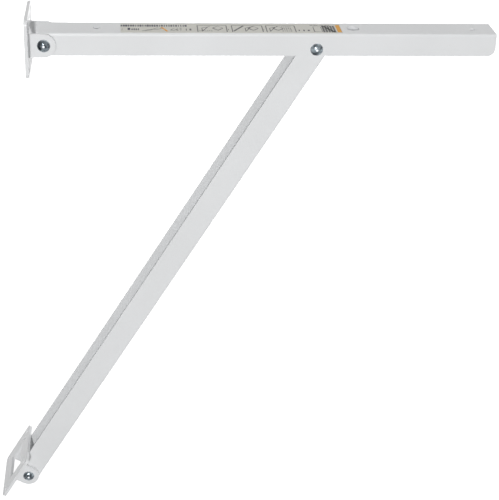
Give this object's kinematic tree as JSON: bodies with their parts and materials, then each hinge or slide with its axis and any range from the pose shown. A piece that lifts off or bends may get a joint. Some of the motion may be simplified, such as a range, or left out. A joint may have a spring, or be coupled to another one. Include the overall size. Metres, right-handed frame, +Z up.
{
  "type": "folding shelf bracket",
  "caption": "White steel folding shelf bracket: a channel arm and a long channel strut riveted so they swing, with a wall plate hinged to each.",
  "frame": {"origin": "centre of the upper wall plate's back face, on the wall", "axes": "+X points away from the wall along the level arm, +Z is up, Y runs along the wall"},
  "size_m": [0.5293, 0.074, 0.5797],
  "materials": {
    "white_coated_steel": "white powder coat, satin, smooth",
    "bright_zinc_rivet": "bright plated rivet, polished dome",
    "printed_paper": "matt printed paper label"
  },
  "bodies": {
    "upper_plate": {"upper_wall_plate": "white_coated_steel", "upper_pivot_rivet_near": "bright_zinc_rivet", "upper_pivot_rivet_far": "bright_zinc_rivet"},
    "arm": {"arm_channel": "white_coated_steel", "instruction_label": "printed_paper", "strut_pivot_rivet_near": "bright_zinc_rivet", "strut_pivot_rivet_far": "bright_zinc_rivet"},
    "strut": {"strut_channel": "white_coated_steel"},
    "lower_plate": {"lower_wall_plate": "white_coated_steel", "lower_pivot_rivet_near": "bright_zinc_rivet", "lower_pivot_rivet_far": "bright_zinc_rivet"}
  },
  "joints": [
    {"name": "arm_hinge", "type": "hinge", "parent": "upper_plate", "child": "arm", "pos_m": [0.0178, 0, 0], "axis": [0, 1, 0], "range_deg": [-90, 90]},
    {"name": "strut_hinge", "type": "hinge", "parent": "arm", "child": "strut", "pos_m": [0.2918, 0, -0.0044], "axis": [0, 1, 0], "range_deg": [-120, 49]},
    {"name": "lower_plate_hinge", "type": "hinge", "parent": "strut", "child": "lower_plate", "pos_m": [-0.02162, 0, -0.53226], "axis": [0, 1, 0], "range_deg": [-180, 0]}
  ]
}
